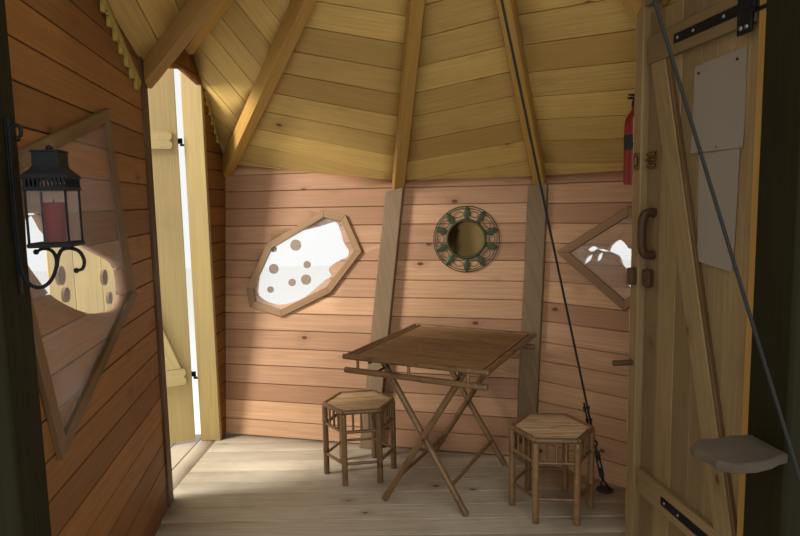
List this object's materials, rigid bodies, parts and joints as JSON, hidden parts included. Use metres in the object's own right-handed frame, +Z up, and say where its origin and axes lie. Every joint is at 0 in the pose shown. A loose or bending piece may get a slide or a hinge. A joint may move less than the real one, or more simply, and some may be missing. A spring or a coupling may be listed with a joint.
{
  "type": "tree house room end",
  "caption": "Open-fronted end of a tree house room: leaning boarded walls, faceted roof on radial rafters, hinged boarded doors, shaped windows, stay cables and bamboo furniture.",
  "frame": {"origin": "centre of the bounding box, at the ground under the floor bearers", "axes": "+X to the right seen from the open front, +Y towards the back wall, +Z up"},
  "size_m": [3.8612, 3.0218, 3.47],
  "materials": {
    "floor_wood": "worn, matt",
    "wall_pine": "oiled pine boards",
    "roof_pine": "bare pine boards",
    "rafter_pine": "bare pale pine",
    "pale_pine": "bare pale pine",
    "door_pine": "bare pine boards with knots",
    "batten_wood": "brown stained battens",
    "grey_post": "weathered",
    "green_post": "dark greenish stain",
    "disc_wood": "cut branch discs",
    "trim_wood": "bare carved board",
    "handle_wood": "brown varnish",
    "bark_slab": "rough grey slab",
    "bamboo": "varnished bamboo",
    "clear_pane": "clear sheet",
    "black_iron": "black",
    "cable_steel": "dull galvanised wire",
    "green_metal": "aged green",
    "red_paint": "gloss red"
  },
  "bodies": {
    "house": {"floor_bearers": "floor_wood", "floor_deck": "floor_wood", "left_wall": "wall_pine", "left_window_frame": "batten_wood", "left_post": "green_post", "door_post": "grey_post", "door_head": "wall_pine", "door_jamb": "pale_pine", "door_side_wall": "wall_pine", "back_wall_left": "wall_pine", "back_wall_middle": "wall_pine", "back_wall_right": "wall_pine", "back_window_frame": "batten_wood", "right_window_frame": "batten_wood", "window_panes": "clear_pane", "window_discs": "disc_wood", "back_post_left": "grey_post", "back_post_right": "grey_post", "corner_post": "grey_post", "return_wall": "wall_pine", "entrance_far_post": "pale_pine", "entrance_near_post": "pale_pine", "entrance_head": "wall_pine", "right_post": "green_post", "roof_left": "roof_pine", "roof_over_door": "roof_pine", "roof_corner": "roof_pine", "roof_back_left": "roof_pine", "roof_back_middle": "roof_pine", "roof_back_right": "roof_pine", "roof_right": "roof_pine", "roof_hub": "rafter_pine", "rafter_front_left": "rafter_pine", "rafter_door_post": "rafter_pine", "rafter_door_head": "rafter_pine", "rafter_corner": "rafter_pine", "rafter_back_left": "rafter_pine", "rafter_back_right": "rafter_pine", "rafter_right": "rafter_pine", "rafter_front_right": "rafter_pine", "hinge_pins": "black_iron", "latch_keeps": "handle_wood", "shelf": "bark_slab", "carved_trims": "trim_wood", "cables": "cable_steel", "cable_fittings": "cable_steel", "lantern": "black_iron", "wall_mirror": "green_metal", "extinguisher": "red_paint", "table": "bamboo", "stools": "bamboo"},
    "narrow_door": {"narrow_leaf": "door_pine", "narrow_ledges": "door_pine", "narrow_straps": "black_iron"},
    "entrance_door": {"entrance_leaf": "door_pine", "entrance_ledges": "door_pine", "entrance_straps": "black_iron", "entrance_handle": "handle_wood", "entrance_latch": "handle_wood"}
  },
  "joints": [
    {"name": "narrow_door_hinge", "type": "hinge", "parent": "house", "child": "narrow_door", "pos_m": [-1.21607, 1.02938, 0.65], "axis": [0, 0, 1], "range_deg": [-35, 62.5]},
    {"name": "entrance_door_hinge", "type": "hinge", "parent": "house", "child": "entrance_door", "pos_m": [1.22735, -0.9445, 0.52], "axis": [0, 0, 1], "range_deg": [0, 80]}
  ]
}
